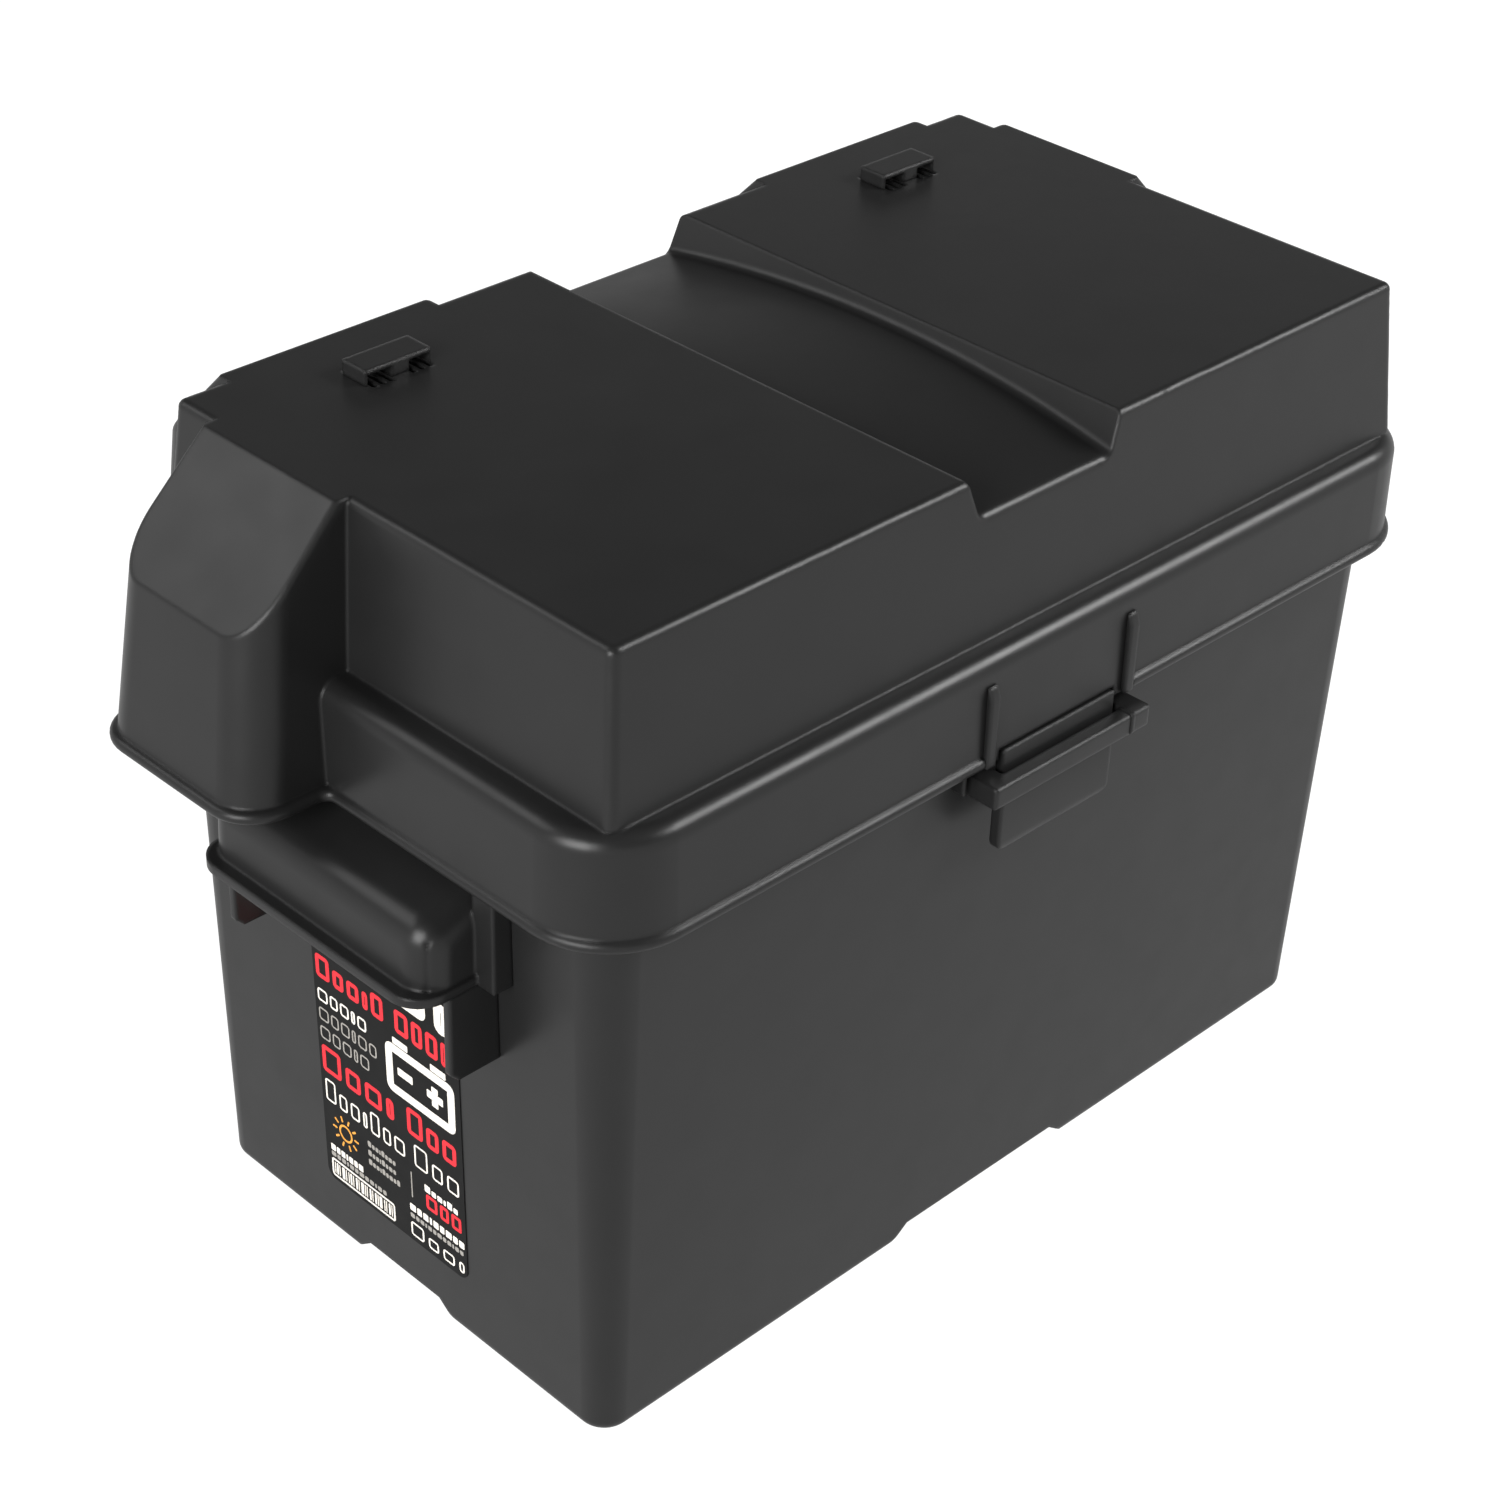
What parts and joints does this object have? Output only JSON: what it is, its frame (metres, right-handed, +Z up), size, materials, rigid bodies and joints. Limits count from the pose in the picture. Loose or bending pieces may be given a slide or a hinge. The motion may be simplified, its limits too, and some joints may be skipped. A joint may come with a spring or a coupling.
{
  "type": "battery box",
  "caption": "Lidded moulded box that holds one deep-cycle battery, with snap latches, carry handles, cable hoods and a strap channel.",
  "frame": {"origin": "on the floor, below the middle of the object's outer limits", "axes": "+X along the length to the right seen from the front, -Y towards the front, +Z up"},
  "size_m": [0.4362, 0.2566, 0.2895],
  "materials": {
    "black_polypropylene": "moulded, fine-grained satin",
    "label_film": "printed film, semi-gloss"
  },
  "bodies": {
    "tub": {"tub": "black_polypropylene", "front_locating_rib": "black_polypropylene", "rear_locating_rib": "black_polypropylene", "front_catch_bar": "black_polypropylene", "rear_catch_bar": "black_polypropylene", "left_handle": "black_polypropylene", "right_handle": "black_polypropylene", "left_handle_front_gusset": "black_polypropylene", "left_handle_rear_gusset": "black_polypropylene", "right_handle_front_gusset": "black_polypropylene", "right_handle_rear_gusset": "black_polypropylene", "label": "label_film"},
    "lid": {"lid": "black_polypropylene", "front_latch_left_rib": "black_polypropylene", "front_latch_right_rib": "black_polypropylene", "rear_latch_left_rib": "black_polypropylene", "rear_latch_right_rib": "black_polypropylene", "left_vent_cap": "black_polypropylene", "right_vent_cap": "black_polypropylene"},
    "front_latch": {"front_latch_tongue": "black_polypropylene"},
    "rear_latch": {"rear_latch_tongue": "black_polypropylene"}
  },
  "joints": [
    {"name": "lid_lift", "type": "slide", "parent": "tub", "child": "lid", "axis": [0, 0, 1], "range_m": [0, 0.15]},
    {"name": "front_latch_flex", "type": "hinge", "parent": "lid", "child": "front_latch", "pos_m": [0, -0.1215, 0.197], "axis": [1, 0, 0], "range_deg": [0, 6], "stiffness_Nm_per_rad": 0.5},
    {"name": "rear_latch_flex", "type": "hinge", "parent": "lid", "child": "rear_latch", "pos_m": [0, 0.0981, 0.197], "axis": [-1, 0, 0], "range_deg": [0, 6], "stiffness_Nm_per_rad": 0.5}
  ]
}
